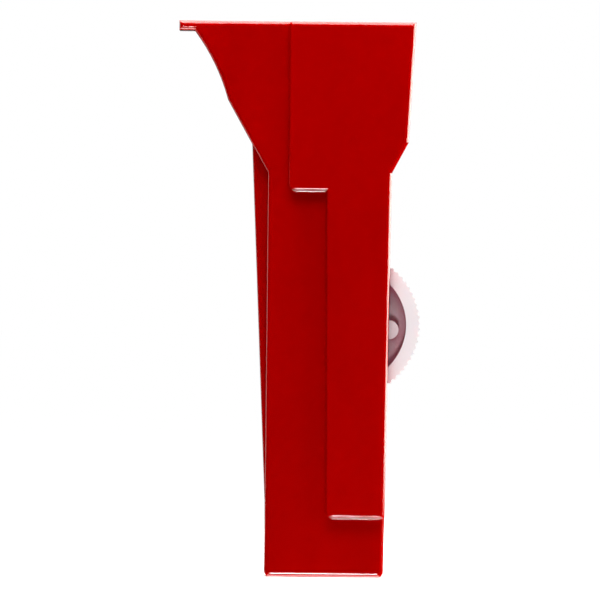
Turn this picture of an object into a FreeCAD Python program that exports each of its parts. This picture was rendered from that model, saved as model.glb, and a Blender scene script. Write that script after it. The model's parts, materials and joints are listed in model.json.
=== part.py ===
import FreeCAD, Part
import math
import os
import Sketcher

# A hand-held tape gun for adhesive transfer tape, standing upright on its flat foot.
# X runs from the nose and trigger (-) to the back of the hand grip (+).
# Y runs from the closed side with the raised gear cover (-) to the side with the door (+).
# Z runs up. The origin is on the foot's flat face. Millimetres.

doc = FreeCAD.newDocument("tape_gun")

SIZES = {
    # Housing outline
    "height": 199.4,
    "grip_front": -21.1,
    "grip_back_foot": 21.7,
    "grip_back_top": 23.4,
    "head_back": 31.7,
    "shoulder_rise": 11.2,
    "shoulder_reach": 5.95,
    "nose_root_out": 14.7,
    "lip_tip": -53.4,
    "lip_root": -47.9,
    "lip_thick": 3.4,
    "nose_curve_radius": 75.0,
    # Housing depth and walls
    "wall": 2.2,
    "near_face": -13.5,
    "raised_face": -16.5,
    "far_face": 13.5,
    "parting": 2.0,
    "raised_head_edge": -13.5,
    "raised_grip_edge": 0.1,
    "raised_foot_edge": 1.1,
    "raised_grip_foot": 21.5,
    "step_below_shoulder": 6.2,
    "edge_round": 1.6,
    "step_round": 0.75,
    "step_corner_round": 2.4,
    "seam_round": 0.25,
    "door_round": 0.5,
    "trigger_round": 1.2,
    "corner_round": 2.2,
    # Gear train from the supply hub down to the take-up spool
    "module": 0.7,
    "supply_teeth": 63.0,
    "idler_teeth": 45.0,
    "wheel_teeth": 72.0,
    "takeup_teeth": 18.0,
    "centre_slack": 0.1,
    "supply_x": -0.6,
    "supply_below_top": 30.3,
    "idler_lean": 4.84,
    "wheel_lean": 7.84,
    "takeup_lean": 13.17,
    "gear_gap": 0.5,
    "train_front": -8.0,
    "train_back": -5.3,
    "layer_gap": 0.3,
    # Chassis plate
    "plate_front": -4.7,
    "plate_thick": 1.5,
    "plate_margin": 2.7,
    # Shafts and fits
    "running_gap": 0.06,
    "supply_post_radius": 3.0,
    "takeup_post_radius": 2.0,
    "idler_post_radius": 2.0,
    "axle_radius": 2.5,
    "roller_pin_radius": 1.5,
    "small_pin_radius": 1.25,
    "sleeve_radius": 7.0,
    "takeup_sleeve_radius": 3.6,
    # Tape and its spools
    "tape_low": -2.9,
    "tape_gap": 0.7,
    "core_radius": 12.5,
    "liner_core_radius": 7.5,
    "liner_flange_radius": 15.0,
    "drum_radius": 15.0,
    "roller_radius": 3.5,
    # Thumbwheel
    "wheel_gap": 0.3,
    "wheel_back": -5.0,
    "rim_inner_radius": 20.9,
    "wheel_web": 1.6,
    "knurl_depth": 0.6,
    "knurl_gap": 0.3,
    "finger_boss_radius": 3.4,
    "finger_boss_circle": 14.9,
    "finger_bosses": 6.0,
    # Trigger and brake
    "trigger_half_width": 9.5,
    "trigger_plate": 2.0,
    "trigger_flange": 1.5,
    "trigger_out": 5.75,
    "trigger_below_top": 43.5,
    "trigger_side_gap": 0.3,
    "pivot_up": 31.0,
    "pivot_in": 5.2,
    "brake_x": -18.6,
    "brake_below_top": 39.9,
    "brake_thick": 1.0,
    # Fasteners
    "boss_radius": 2.6,
    "screw_radius": 1.3,
    "screw_head_radius": 2.5,
    "screw_head_thick": 1.4,
    "plate_screw_radius": 1.0,
    # Door
    "door_gap": 0.4,
    "door_below_top": 7.4,
    "hinge_radius": 2.2,
    "hinge_pin_radius": 1.0,
    # Steel edge on the lip
    "blade_thick": 0.4,
    "blade_reach": 5.0,
}

sheet = doc.addObject("Spreadsheet::Sheet", "Sizes")
for row, (alias, number) in enumerate(SIZES.items(), start=1):
    sheet.set("A%d" % row, alias)
    sheet.set("B%d" % row, str(number))
    sheet.setAlias("B%d" % row, alias)
doc.recompute()

layout = doc.addObject("App::VarSet", "Layout")


def derive(name, expression):
    """Add one worked-out place or size, bound to the sheet."""
    layout.addProperty("App::PropertyFloat", name, "Layout")
    layout.setExpression(name, expression)
    doc.recompute()


def read(expression):
    """The number that an expression has now."""
    result = layout.evalExpression(str(expression))
    return float(getattr(result, "Value", result))


derive("supply_z", "Sizes.height - Sizes.supply_below_top")
derive("reach_supply_idler",
       "Sizes.module * (Sizes.supply_teeth + Sizes.idler_teeth) / 2 + Sizes.centre_slack")
derive("reach_idler_wheel",
       "Sizes.module * (Sizes.idler_teeth + Sizes.wheel_teeth) / 2 + Sizes.centre_slack")
derive("reach_wheel_takeup",
       "Sizes.module * (Sizes.wheel_teeth + Sizes.takeup_teeth) / 2 + Sizes.centre_slack")
derive("idler_x", "Sizes.supply_x + reach_supply_idler * sin(Sizes.idler_lean * 1 deg)")
derive("idler_z", "supply_z - reach_supply_idler * cos(Sizes.idler_lean * 1 deg)")
derive("wheel_x", "idler_x + reach_idler_wheel * sin(Sizes.wheel_lean * 1 deg)")
derive("wheel_z", "idler_z - reach_idler_wheel * cos(Sizes.wheel_lean * 1 deg)")
derive("takeup_x", "wheel_x - reach_wheel_takeup * sin(Sizes.takeup_lean * 1 deg)")
derive("takeup_z", "wheel_z - reach_wheel_takeup * cos(Sizes.takeup_lean * 1 deg)")
derive("wheel_tip", "Sizes.module * (Sizes.wheel_teeth / 2 + 1)")
derive("shoulder_z", "supply_z - 24.0")
derive("shoulder_top_z", "shoulder_z + Sizes.shoulder_rise")
derive("shoulder_top_x", "Sizes.grip_back_top + Sizes.shoulder_reach")
derive("nose_x", "Sizes.grip_front - Sizes.nose_root_out")
derive("nose_z", "supply_z + 2.3")
derive("lip_z", "Sizes.height - Sizes.lip_thick")
derive("near_inner", "Sizes.near_face + Sizes.wall")
derive("raised_inner", "Sizes.raised_face + Sizes.wall")
derive("far_inner", "Sizes.far_face - Sizes.wall")
derive("post_low", "Sizes.near_face + 0.8")
derive("gear_front", "near_inner + Sizes.gear_gap")
derive("wheel_front", "near_inner + Sizes.wheel_gap")
derive("tape_high", "far_inner - Sizes.tape_gap")
derive("step_z", "shoulder_z - Sizes.step_below_shoulder")
derive("plate_back", "Sizes.plate_front + Sizes.plate_thick")
derive("pivot_x", "Sizes.grip_front + Sizes.pivot_in")
derive("brake_z", "Sizes.height - Sizes.brake_below_top")
derive("brake_front", "Sizes.plate_front - Sizes.layer_gap - Sizes.brake_thick")
derive("drum_front", "brake_front - Sizes.layer_gap")
derive("hinge_y", "Sizes.far_face - 0.5")
derive("trigger_top", "Sizes.height - Sizes.trigger_below_top")
derive("door_top", "Sizes.height - Sizes.door_below_top")
derive("hinge_z", "door_top + 2.5")


def bind(thing, prop, expression):
    thing.setExpression(prop, str(expression))


# ---------------------------------------------------------------- drawing helpers

def origin_plane(body, role):
    return next(item for item in body.Origin.OriginFeatures if item.Role == role)


def profile(body, corners, height_y, arcs=None):
    """A closed outline in the XZ plane at the given Y.

    corners is a list of (x, z) expressions. arcs maps the index of a side to its radius
    expression: that side is an arc that curves into the outline.
    """
    sketch = body.newObject("Sketcher::SketchObject", "outline")
    sketch.AttachmentSupport = [(origin_plane(body, "XZ_Plane"), "")]
    sketch.MapMode = "FlatFace"
    bind(sketch, "AttachmentOffset.Base.z", "-(%s)" % height_y)
    draw_outline(sketch, corners, arcs or {})
    return sketch


def draw_outline(sketch, corners, arcs):
    spots = [FreeCAD.Vector(read(x), read(z), 0) for x, z in corners]
    sides = []
    for index, start in enumerate(spots):
        end = spots[(index + 1) % len(spots)]
        if index in arcs:
            sides.append(curved_side(start, end, read(arcs[index])))
        else:
            sides.append(Part.LineSegment(start, end))
    sketch.addGeometry(sides, False)
    first = [2 if index in arcs else 1 for index in range(len(spots))]
    for index in range(len(spots)):
        after = (index + 1) % len(spots)
        meet = Sketcher.Constraint("Coincident", index, 3 - first[index], after, first[after])
        sketch.addConstraint(meet)
    for index, (x, z) in enumerate(corners):
        place_point(sketch, "DistanceX", index, first[index], x)
        place_point(sketch, "DistanceY", index, first[index], z)
    for index, radius in arcs.items():
        held = sketch.addConstraint(Sketcher.Constraint("Radius", index, read(radius)))
        bind(sketch, "Constraints[%d]" % held, radius)
    doc.recompute()


def curved_side(start, end, radius):
    """An arc that bulges to the left of the way from start to end.

    It is drawn from end to start, the anticlockwise way that a sketch keeps its arcs.
    """
    along = end - start
    half = along.Length / 2
    rise = radius - math.sqrt(radius ** 2 - half ** 2)
    left = FreeCAD.Vector(-along.y, along.x, 0).normalize()
    return Part.Arc(end, (start + end) / 2 + left * rise, start)


def place_point(sketch, kind, index, point, expression):
    limit = Sketcher.Constraint(kind, -1, 1, index, point, read(expression))
    bind(sketch, "Constraints[%d]" % sketch.addConstraint(limit), expression)


def circles(body, spots, height_y):
    """Circles in the XZ plane: spots is a list of (x, z, radius) expressions."""
    sketch = body.newObject("Sketcher::SketchObject", "circles")
    sketch.AttachmentSupport = [(origin_plane(body, "XZ_Plane"), "")]
    sketch.MapMode = "FlatFace"
    bind(sketch, "AttachmentOffset.Base.z", "-(%s)" % height_y)
    for index, (x, z, radius) in enumerate(spots):
        centre = FreeCAD.Vector(read(x), read(z), 0)
        sketch.addGeometry(Part.Circle(centre, FreeCAD.Vector(0, 0, 1), read(radius)), False)
        for kind, wanted in (("DistanceX", x), ("DistanceY", z)):
            limit = Sketcher.Constraint(kind, -1, 1, index, 3, read(wanted))
            held = sketch.addConstraint(limit)
            bind(sketch, "Constraints[%d]" % held, wanted)
        held = sketch.addConstraint(Sketcher.Constraint("Radius", index, read(radius)))
        bind(sketch, "Constraints[%d]" % held, radius)
    doc.recompute()
    return sketch


def pad(body, sketch_of, low, high, **shape):
    """Add material between two Y heights: sketch_of draws the sketch at the high one."""
    feature = body.newObject("PartDesign::Pad", "pad")
    feature.Profile = sketch_of(body, height_y=high, **shape)
    bind(feature, "Length", "(%s) - (%s)" % (high, low))
    doc.recompute()
    return feature


def pocket(body, sketch_of, low, high, **shape):
    """Remove material between two Y heights: sketch_of draws the sketch at the low one."""
    before = body.Shape.Volume
    sketch = sketch_of(body, height_y=low, **shape)
    feature = body.newObject("PartDesign::Pocket", "pocket")
    feature.Profile = sketch
    bind(feature, "Length", "(%s) - (%s)" % (high, low))
    doc.recompute()
    if not body.Shape.Volume < before:
        raise RuntimeError("a pocket in %s cuts nothing" % body.Label)
    return feature


def new_body(label):
    body = doc.addObject("PartDesign::Body", label)
    body.Label = label
    return body


def fillet(body, picked, radius):
    """Round the edges of the body's last feature that picked(edge) chooses."""
    base = body.Tip
    names = ["Edge%d" % (number + 1) for number, edge in enumerate(base.Shape.Edges)
             if picked(edge)]
    feature = body.newObject("PartDesign::Fillet", "round")
    feature.Base = (base, names)
    bind(feature, "Radius", radius)
    doc.recompute()
    return feature


def round_joint(label, base, picked, radius):
    """Round the chosen edges of a joined solid."""
    doc.recompute()
    size = read(radius)
    rounded = doc.addObject("Part::Fillet", label)
    rounded.Base = base
    rounded.Edges = [(number + 1, size, size) for number, edge in enumerate(base.Shape.Edges)
                     if picked(edge)]
    doc.recompute()
    return rounded


def rectangle(x_low, x_high, z_low, z_high):
    return [(x_low, z_low), (x_high, z_low), (x_high, z_high), (x_low, z_high)]


# ---------------------------------------------------------------- primitives along Y

def rod(label, radius, low, high, x, z):
    """A plain cylinder along Y between two Y heights."""
    piece = doc.addObject("Part::Cylinder", label)
    piece.Label = label
    piece.Placement.Rotation = FreeCAD.Rotation(FreeCAD.Vector(1, 0, 0), -90)
    bind(piece, "Radius", radius)
    bind(piece, "Height", "(%s) - (%s)" % (high, low))
    bind(piece, "Placement.Base.x", x)
    bind(piece, "Placement.Base.y", low)
    bind(piece, "Placement.Base.z", z)
    return piece


def block(label, x_low, x_high, y_low, y_high, z_low, z_high):
    piece = doc.addObject("Part::Box", label)
    piece.Label = label
    for prop, low, high in (("Length", x_low, x_high), ("Width", y_low, y_high),
                            ("Height", z_low, z_high)):
        bind(piece, prop, "(%s) - (%s)" % (high, low))
    bind(piece, "Placement.Base.x", x_low)
    bind(piece, "Placement.Base.y", y_low)
    bind(piece, "Placement.Base.z", z_low)
    return piece


def join(label, pieces):
    whole = doc.addObject("Part::MultiFuse", label)
    whole.Label = label
    whole.Shapes = pieces
    return whole


def remove(label, base, tools):
    """The base without the tools."""
    result = doc.addObject("Part::Cut", label)
    result.Label = label
    result.Base = base
    result.Tool = tools[0] if len(tools) == 1 else join(label + "_tools", tools)
    return result


def tube(label, outer, inner, low, high, x, z):
    return remove(label, rod(label + "_outer", outer, low, high, x, z),
                  [rod(label + "_inner", inner, low, high, x, z)])


def group(label, pieces):
    """Identical separate pieces in one node."""
    whole = doc.addObject("Part::Compound", label)
    whole.Label = label
    whole.Links = pieces
    return whole


def slab(label, corners, low, high, arcs=None, inset=None):
    """An outline in the XZ plane, made smaller all round by inset, between two Y heights."""
    sketch = doc.addObject("Sketcher::SketchObject", label + "_outline")
    sketch.Placement.Rotation = FreeCAD.Rotation(FreeCAD.Vector(1, 0, 0), 90)
    bind(sketch, "Placement.Base.y", high)
    draw_outline(sketch, corners, arcs or {})
    outline = sketch
    if inset:
        outline = doc.addObject("Part::Offset2D", label + "_inset")
        outline.Source = sketch
        outline.Join = "Intersection"
        bind(outline, "Value", "-(%s)" % inset)
    piece = doc.addObject("Part::Extrusion", label)
    piece.Label = label
    piece.Base = outline
    piece.DirMode = "Custom"
    piece.Dir = FreeCAD.Vector(0, -1, 0)
    piece.Solid = True
    bind(piece, "LengthFwd", "(%s) - (%s)" % (high, low))
    doc.recompute()
    return piece


# ---------------------------------------------------------------- gears

def involute_angle(base, radius):
    """Polar angle of a tooth flank at a radius, from where it leaves the base circle."""
    ratio = max(radius / base, 1.0)
    pressure = math.acos(1.0 / ratio)
    return math.tan(pressure) - pressure


def gear_outline(teeth, phase):
    """Corners of an external involute gear in the XZ plane, phase being one tooth's angle."""
    module = read("Sizes.module")
    pitch = module * teeth / 2
    base = pitch * math.cos(math.radians(20))
    backlash = 0.06
    half_tooth = (math.pi * module / 2 - backlash) / pitch / 2 + involute_angle(base, pitch)
    flank = [pitch - 1.25 * module, pitch - 0.35 * module, pitch + 0.3 * module, pitch + module]
    corners = []
    for tooth in range(int(teeth)):
        middle = phase + 2 * math.pi * tooth / teeth
        rising = [(middle - half_tooth + involute_angle(base, r), r) for r in flank]
        falling = [(middle + half_tooth - involute_angle(base, r), r) for r in reversed(flank)]
        corners += [FreeCAD.Vector(r * math.cos(a), 0, r * math.sin(a))
                    for a, r in rising + falling]
    return corners


def gear_blank(label, teeth, phase, low, high, x, z):
    """A toothed disc between two Y heights."""
    corners = gear_outline(teeth, phase)
    face = Part.Face(Part.makePolygon(corners + corners[:1]))
    blank = doc.addObject("Part::Feature", label)
    blank.Label = label
    blank.Shape = face.extrude(FreeCAD.Vector(0, read(high) - read(low), 0))
    blank.Placement.Base = FreeCAD.Vector(read(x), read(low), read(z))
    return blank


def knurled_blank(label, teeth, phase, low, high, x, z):
    """A disc with a shallow wavy edge, one wave to each tooth."""
    outer = read("Layout.wheel_tip")
    half = read("Sizes.knurl_depth") / 2
    steps = 6 * int(teeth)
    corners = []
    for step in range(steps):
        angle = 2 * math.pi * step / steps
        radius = outer - half + half * math.cos(teeth * angle)
        corners.append(FreeCAD.Vector(radius * math.cos(angle + phase), 0,
                                      radius * math.sin(angle + phase)))
    face = Part.Face(Part.makePolygon(corners + corners[:1]))
    blank = doc.addObject("Part::Feature", label)
    blank.Label = label
    blank.Shape = face.extrude(FreeCAD.Vector(0, read(high) - read(low), 0))
    blank.Placement.Base = FreeCAD.Vector(read(x), read(low), read(z))
    return blank


def meshed_phase(driver_teeth, driver_phase, driven_teeth, start, end):
    """Phase of a gear at end that meshes with a gear at start."""
    line = math.atan2(end[1] - start[1], end[0] - start[0])
    share = (line - driver_phase) * driver_teeth / (2 * math.pi)
    return line + math.pi - 2 * math.pi * (0.5 - share) / driven_teeth


SUPPLY = ("Sizes.supply_x", "Layout.supply_z")
IDLER = ("Layout.idler_x", "Layout.idler_z")
WHEEL = ("Layout.wheel_x", "Layout.wheel_z")
TAKEUP = ("Layout.takeup_x", "Layout.takeup_z")


def train_phases():
    """Tooth phases of the four gears, in mesh at rest."""
    stations = (("supply", SUPPLY), ("idler", IDLER), ("wheel", WHEEL), ("takeup", TAKEUP))
    phases = {"supply": 0.0}
    for (first, start), (second, end) in zip(stations, stations[1:]):
        phases[second] = meshed_phase(
            read("Sizes.%s_teeth" % first), phases[first], read("Sizes.%s_teeth" % second),
            [read(part) for part in start], [read(part) for part in end])
    return phases


PHASES = train_phases()


def gear(name, low, high, spot):
    return gear_blank(name + "_teeth", read("Sizes.%s_teeth" % name), PHASES[name],
                      low, high, *spot)

# ---------------------------------------------------------------- housing

OUTLINE = [
    ("Sizes.lip_root", "Sizes.height"),
    ("Sizes.lip_root", "Layout.lip_z"),
    ("Layout.nose_x", "Layout.nose_z"),
    ("Layout.nose_x + 0.6", "Layout.nose_z - 1.1"),
    ("Sizes.grip_front", "Layout.shoulder_z"),
    ("Sizes.grip_front", "0"),
    ("Sizes.grip_back_foot", "0"),
    ("Sizes.grip_back_foot + 0.4", "Sizes.raised_grip_foot + 5"),
    ("Sizes.grip_back_top", "Layout.shoulder_z"),
    ("Layout.shoulder_top_x", "Layout.shoulder_top_z"),
    ("Sizes.head_back", "Sizes.height"),
]
NOSE_SIDE = 1
OUTLINE_WITH_LIP = [
    ("Sizes.lip_tip", "Sizes.height"),
    ("Sizes.lip_tip", "Layout.lip_z"),
] + OUTLINE[NOSE_SIDE:]
LIP_NOSE_SIDE = 2

RAISED = [
    ("Sizes.raised_head_edge", "Sizes.height"),
    ("Sizes.raised_head_edge", "Layout.step_z"),
    ("Sizes.raised_grip_edge", "Layout.step_z"),
    ("Sizes.raised_foot_edge", "Sizes.raised_grip_foot"),
    ("Sizes.grip_back_foot + 0.35", "Sizes.raised_grip_foot"),
] + OUTLINE[7:]

# Case screws: (x, z, raised), raised where the raised cover is behind the boss.
CASE_SCREWS = [
    ("Sizes.head_back - 4.4", "Sizes.height - 4.6", True),
    ("Sizes.raised_head_edge - 6.5", "Sizes.height - 4.4", False),
    ("Layout.nose_x + 6.0", "Layout.nose_z - 2.7", False),
    ("Sizes.grip_back_top - 3.1", "Layout.shoulder_z + 4.2", True),
    ("Sizes.grip_back_foot - 3.7", "Sizes.raised_grip_foot + 15.2", True),
    ("Sizes.grip_front + 5.6", "8", False),
]

# Short screws that hold the chassis plate on its own bosses.
PLATE_SCREWS = [
    ("Sizes.supply_x + 23.1", "Layout.supply_z + 17.9", True),
    ("Sizes.supply_x - 24.4", "Layout.supply_z + 17.4", False),
    ("Layout.idler_x - 16.1", "Layout.idler_z - 13.8", False),
    ("Layout.takeup_x + 14.5", "Layout.takeup_z - 14.4", True),
    ("Layout.takeup_x - 14", "Layout.takeup_z - 14.4", False),
]


# Posts and shafts that stand in seats of the near shell: (spot, radius, beside the cover's edge).
POSTS = [
    (SUPPLY, "Sizes.supply_post_radius", False),
    (IDLER, "Sizes.idler_post_radius", True),
    (WHEEL, "Sizes.axle_radius", False),
    (TAKEUP, "Sizes.takeup_post_radius", True),
]
PIVOT = ("Layout.pivot_x", "Sizes.pivot_up")
BRAKE = ("Sizes.brake_x", "Layout.brake_z")
EXIT_ROLLER = ("Layout.nose_x + 1.8", "Layout.nose_z + 15.4")
RETURN_ROLLER = ("Layout.nose_x + 5.0", "Layout.nose_z + 6.4")
GUIDE_POST = ("Sizes.supply_x - 11.9", "Layout.supply_z - 22.6")
TRIGGER_REACH = "Sizes.trigger_half_width"


def window_block(label):
    """The opening in the grip's front wall that the trigger swings through."""
    side = TRIGGER_REACH + " + Sizes.trigger_side_gap"
    return block(label, "Sizes.grip_front - 12", "Sizes.grip_front + Sizes.wall + 0.1",
                 "-(%s)" % side, side, "Sizes.pivot_up - 3.8", "Layout.trigger_top + 1.6")


def wheel_slot(label):
    """The opening in the grip's back wall that the thumbwheel stands out of."""
    return block(label, "Sizes.grip_back_foot - Sizes.wall - 1.5", "Sizes.grip_back_top + 5",
                 "Layout.near_inner", "Sizes.wheel_back + 0.4",
                 "Layout.wheel_z - Layout.wheel_tip + 1.5",
                 "Layout.wheel_z + Layout.wheel_tip - 1.5")


def tape_slots(label):
    """The slot in the top where tape leaves, and the mouth below the lip for its liner."""
    top = block(label + "_top", "Layout.nose_x - 5.6", "Layout.nose_x - 0.4", "Sizes.tape_low",
                "Layout.tape_high + 0.3", "Layout.lip_z - 1", "Sizes.height + 1")
    mouth = block(label + "_mouth", "Layout.nose_x - 12", "Layout.nose_x + 1.6",
                  "Sizes.tape_low", "Layout.tape_high + 0.3", "Layout.nose_z + 8",
                  "Layout.nose_z + 18")
    return [top, mouth]


def blade_block(label, grow):
    """The end of the lip, cut back from its tip by grow."""
    return block(label, "Sizes.lip_tip + %s" % grow, "Sizes.lip_tip + Sizes.blade_reach",
                 "Sizes.tape_low", "Layout.tape_high", "Layout.lip_z + %s" % grow,
                 "Sizes.height - %s" % grow)


def peel_blade(label):
    """A thin steel strip folded round the lip's tip, where the tape leaves its liner."""
    return remove(label, blade_block(label + "_outside", "0"),
                  [blade_block(label + "_inside", "Sizes.blade_thick")])


def pivot_seats(label, radius, low, high):
    return rod(label, radius, low, high, *PIVOT)


def make_near_shell():
    """The closed half: base wall, raised gear cover, seats for the posts and screw bosses."""
    nose = {NOSE_SIDE: "Sizes.nose_curve_radius"}
    base = new_body("near_base")
    pad(base, profile, "Sizes.near_face", "Sizes.parting", corners=OUTLINE_WITH_LIP,
        arcs={LIP_NOSE_SIDE: "Sizes.nose_curve_radius"})
    fillet(base, is_foot_corner, "Sizes.corner_round")
    fillet(base, is_near_rim, "Sizes.edge_round")
    raised = new_body("raised_cover")
    pad(raised, profile, "Sizes.raised_face", "Sizes.near_face + Sizes.edge_round + 0.2",
        corners=RAISED)
    fillet(raised, is_step_corner, "Sizes.step_corner_round")
    fillet(raised, is_raised_rim, "Sizes.edge_round")
    fillet(raised, is_step_rim, "Sizes.step_round")
    outside = join("near_outside", [base, raised])
    outside.Refine = True
    body = round_joint("near_rounded", outside, is_step_root, "Sizes.step_round")
    cavity = slab("near_cavity", OUTLINE, "Layout.near_inner", "Sizes.parting + 1", nose,
                  "Sizes.wall")
    cover = slab("cover_cavity", RAISED, "Layout.raised_inner", "Layout.near_inner", None,
                 "Sizes.wall")
    hollow = remove("near_hollow", body, [cavity, cover])
    inside = []
    for number, (x, z, raised) in enumerate(CASE_SCREWS):
        floor = "Layout.raised_inner - 1" if raised else "Layout.near_inner - 1"
        inside.append(rod("near_boss_%d" % number, "Sizes.boss_radius", floor,
                          "Sizes.parting", x, z))
    for number, (x, z, raised) in enumerate(PLATE_SCREWS):
        floor = "Layout.raised_inner - 1" if raised else "Layout.near_inner - 1"
        inside.append(rod("plate_boss_%d" % number, "Sizes.boss_radius", floor,
                          "Sizes.plate_front", x, z))
    for number, ((x, z), radius, beside_edge) in enumerate(POSTS):
        seat = rod("post_seat_%d" % number, radius + " + Sizes.wall",
                   "Layout.raised_inner - 1", "Layout.near_inner + 0.1", x, z)
        if beside_edge:
            spill = block("seat_spill_%d" % number, "Sizes.raised_grip_edge - 12",
                          "Sizes.raised_foot_edge + 0.4", "Layout.raised_inner - 2",
                          "Sizes.near_face + 0.6", "Sizes.raised_grip_foot", "Layout.step_z")
            seat = remove("post_seat_%d_trimmed" % number, seat, [spill])
        inside.append(seat)
    inside.append(rod("near_pivot_seat", "Sizes.small_pin_radius + 1.8",
                      "Layout.near_inner - 1", "-" + TRIGGER_REACH + " - 0.2", *PIVOT))
    solid = join("near_solid", [hollow] + inside)
    holes = [window_block("near_window"), wheel_slot("near_wheel_slot")]
    holes += tape_slots("near_slots") + [peel_blade("near_blade_seat")]
    for number, (x, z, raised) in enumerate(CASE_SCREWS):
        holes.append(rod("near_pilot_%d" % number, "Sizes.screw_radius + 0.05",
                         "Layout.near_inner + 2.4", "Sizes.parting + 1", x, z))
    for number, (x, z, raised) in enumerate(PLATE_SCREWS):
        holes.append(rod("plate_pilot_%d" % number, "Sizes.plate_screw_radius + 0.05",
                         "Layout.near_inner + 0.4", "Sizes.parting", x, z))
    for number, ((x, z), radius, _) in enumerate(POSTS):
        holes.append(rod("post_hole_%d" % number, radius, "Layout.post_low",
                         "Layout.near_inner + 1", x, z))
    holes.append(pivot_seats("near_pivot_hole", "Sizes.small_pin_radius",
                             "Sizes.near_face + 1", "-" + TRIGGER_REACH))
    return remove("near_shell", solid, holes)


def is_foot_corner(edge):
    box = edge.BoundBox
    return box.XLength < 1e-4 and box.ZLength < 1e-4 and box.ZMax < 1


def is_step_corner(edge):
    """The two outer corners of the step, run through its height."""
    box = edge.BoundBox
    if box.XLength > 1e-4 or box.ZLength > 1e-4:
        return False
    return any(abs(box.XMin - read(x)) + abs(box.ZMin - read(z)) < 1e-3
               for x, z in (RAISED[1], RAISED[3]))


def lies_at(edge, height_y):
    """Whether an edge lies in the plane at a Y height."""
    box = edge.BoundBox
    return box.YLength < 1e-4 and abs(box.YMin - read(height_y)) < 1e-4


def is_outside(edge):
    """Whether an edge runs along the back, the shoulder or the top of the housing."""
    centre = edge.CenterOfMass
    return centre.x > read("Sizes.grip_back_foot") - 0.1 or centre.z > read("Sizes.height") - 0.4


def is_seam(edge):
    """Outer edges where the two halves of the housing meet."""
    return lies_at(edge, "Sizes.parting")


def is_near_rim(edge):
    """All outer edges of the base face."""
    return lies_at(edge, "Sizes.near_face")


def is_raised_rim(edge):
    """Outer edges of the raised face."""
    return lies_at(edge, "Sizes.raised_face") and is_outside(edge)


def is_step_rim(edge):
    """Edges of the raised face where it steps down to the base face."""
    return lies_at(edge, "Sizes.raised_face") and not is_outside(edge)


def is_step_root(edge):
    """Edges where the step meets the base face."""
    if not lies_at(edge, "Sizes.near_face"):
        return False
    centre = edge.CenterOfMass
    lean = (read("Sizes.raised_grip_edge") + read("Sizes.raised_foot_edge")) / 2
    ways = (centre.x - read("Sizes.raised_head_edge"), centre.x - lean,
            centre.z - read("Layout.step_z"), centre.z - read("Sizes.raised_grip_foot"))
    return min(abs(way) for way in ways) < 0.1


# Corners of the door, as (x, z); its opening is larger by the door gap.
DOOR = [
    ("Sizes.supply_x - 24.9", "Layout.door_top"),
    ("Sizes.supply_x - 24.9", "Layout.supply_z - 5.5"),
    ("Layout.takeup_x - 17.5", "Layout.supply_z - 22.6"),
    ("Layout.takeup_x - 17.5", "Layout.takeup_z - 19.4"),
    ("Layout.takeup_x + 15.5", "Layout.takeup_z - 19.4"),
    ("Layout.takeup_x + 15.5", "Layout.supply_z - 17.6"),
    ("Sizes.supply_x + 24.1", "Layout.supply_z - 5.5"),
    ("Sizes.supply_x + 24.1", "Layout.door_top"),
]
# Hinge knuckles along the door's top edge: (from, to, on the door).
KNUCKLES = [
    ("Sizes.supply_x - 13.4", "Sizes.supply_x - 8.6", False),
    ("Sizes.supply_x - 8.3", "Sizes.supply_x - 2.3", True),
    ("Sizes.supply_x - 2.0", "Sizes.supply_x + 4.0", False),
    ("Sizes.supply_x + 4.3", "Sizes.supply_x + 10.3", True),
    ("Sizes.supply_x + 10.6", "Sizes.supply_x + 15.4", False),
]


def rod_x(label, radius, low, high, y, z):
    """A plain cylinder along X."""
    piece = doc.addObject("Part::Cylinder", label)
    piece.Label = label
    piece.Placement.Rotation = FreeCAD.Rotation(FreeCAD.Vector(0, 1, 0), 90)
    bind(piece, "Radius", radius)
    bind(piece, "Height", "(%s) - (%s)" % (high, low))
    bind(piece, "Placement.Base.x", low)
    bind(piece, "Placement.Base.y", y)
    bind(piece, "Placement.Base.z", z)
    return piece


def knuckle(label, low, high, on_door):
    """One hinge barrel and the web that joins it to the door or to the shell."""
    barrel = rod_x(label + "_barrel", "Sizes.hinge_radius", low, high, "Layout.hinge_y",
                   "Layout.hinge_z")
    if on_door:
        web = block(label + "_web", low, high, "Sizes.far_face - 1.2",
                    "Layout.hinge_y + Sizes.hinge_radius - 0.3", "Layout.door_top - 1.5",
                    "Layout.hinge_z")
    else:
        web = block(label + "_web", low, high, "Sizes.far_face - 1.2",
                    "Layout.hinge_y + Sizes.hinge_radius - 0.3", "Layout.hinge_z",
                    "Layout.hinge_z + 2.6")
    return [barrel, web]


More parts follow.
